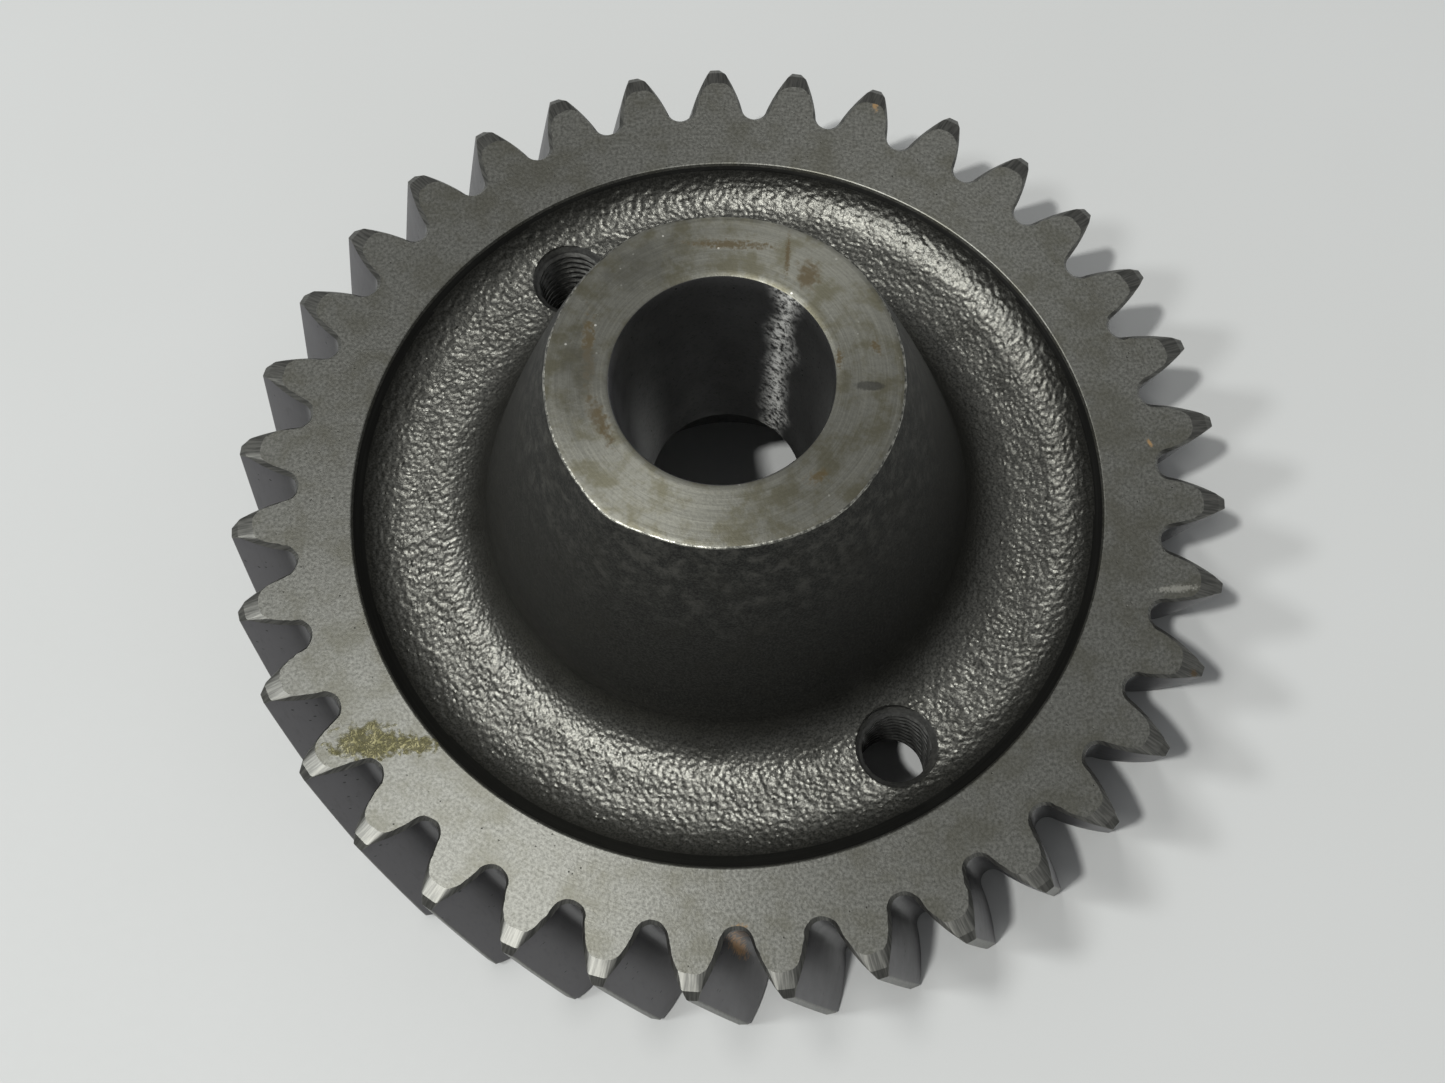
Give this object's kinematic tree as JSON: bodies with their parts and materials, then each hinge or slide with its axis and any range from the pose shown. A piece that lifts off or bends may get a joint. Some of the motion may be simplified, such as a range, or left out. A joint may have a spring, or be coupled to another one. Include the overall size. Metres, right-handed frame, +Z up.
{
  "type": "helical gear with tapered-bore hub",
  "caption": "Left-hand helical steel gear with a forged dished web, a tall conical hub bored to a taper, and tapped puller holes through the web.",
  "frame": {"origin": "on the bore axis, in the plane of the lower end face of the teeth, which the gear rests on", "axes": "+Z up the bore axis towards the hub's end face; +X and +Y are square to it, and the two puller holes lie on a line 57 degrees clockwise of +X seen from above"},
  "size_m": [0.1516, 0.1516, 0.0745],
  "materials": {
    "machined_steel": "satin machined and ground steel, grey-green, with darker oiled tooth flanks",
    "forged_steel": "dark blasted forging skin, orange-peel texture, semi-gloss with oil",
    "hub_steel": "dark smooth forging skin outside, machined end face and bore"
  },
  "bodies": {
    "root": {"toothed_rim": "machined_steel", "web": "forged_steel", "hub": "hub_steel"}
  },
  "joints": []
}
